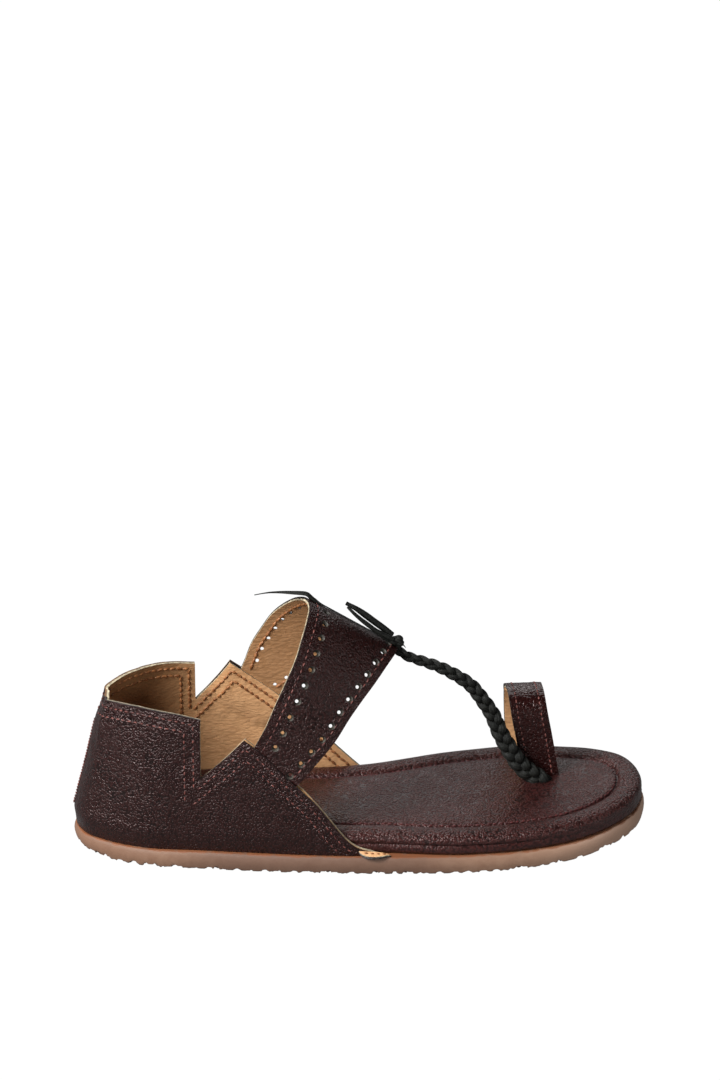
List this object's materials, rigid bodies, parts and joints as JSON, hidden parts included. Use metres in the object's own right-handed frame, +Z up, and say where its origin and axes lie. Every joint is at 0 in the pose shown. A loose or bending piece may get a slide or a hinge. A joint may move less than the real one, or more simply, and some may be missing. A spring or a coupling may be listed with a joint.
{
  "type": "toe loop sandal",
  "caption": "Flat leather sandal with a closed notched heel, a perforated instep band, a plaited toe strap, a big toe loop, a padded footbed and a rubber outsole.",
  "frame": {"origin": "point of the ground plane under the waist of the foot, on the sandal's middle line, at half of its length", "axes": "+X toward the toe, +Y toward the medial side (big toe side), +Z up from the ground"},
  "size_m": [0.2596, 0.0883, 0.1149],
  "materials": {
    "outsole_rubber": "matt orange brown crepe rubber",
    "footbed_leather": "soft satin padded leather",
    "upper_leather": "satin grained dark brown leather with tan lining",
    "loop_leather": "satin grained dark brown leather",
    "plait_leather": "dull black plaited leather",
    "thong_leather": "dull black leather lace"
  },
  "bodies": {
    "root": {"outsole": "outsole_rubber", "footbed": "footbed_leather", "upper": "upper_leather", "toe_loop": "loop_leather", "toe_braid": "plait_leather", "thong_ridge": "thong_leather", "thong_knot": "thong_leather", "thong_end_long": "thong_leather", "thong_end_short": "thong_leather"}
  },
  "joints": []
}
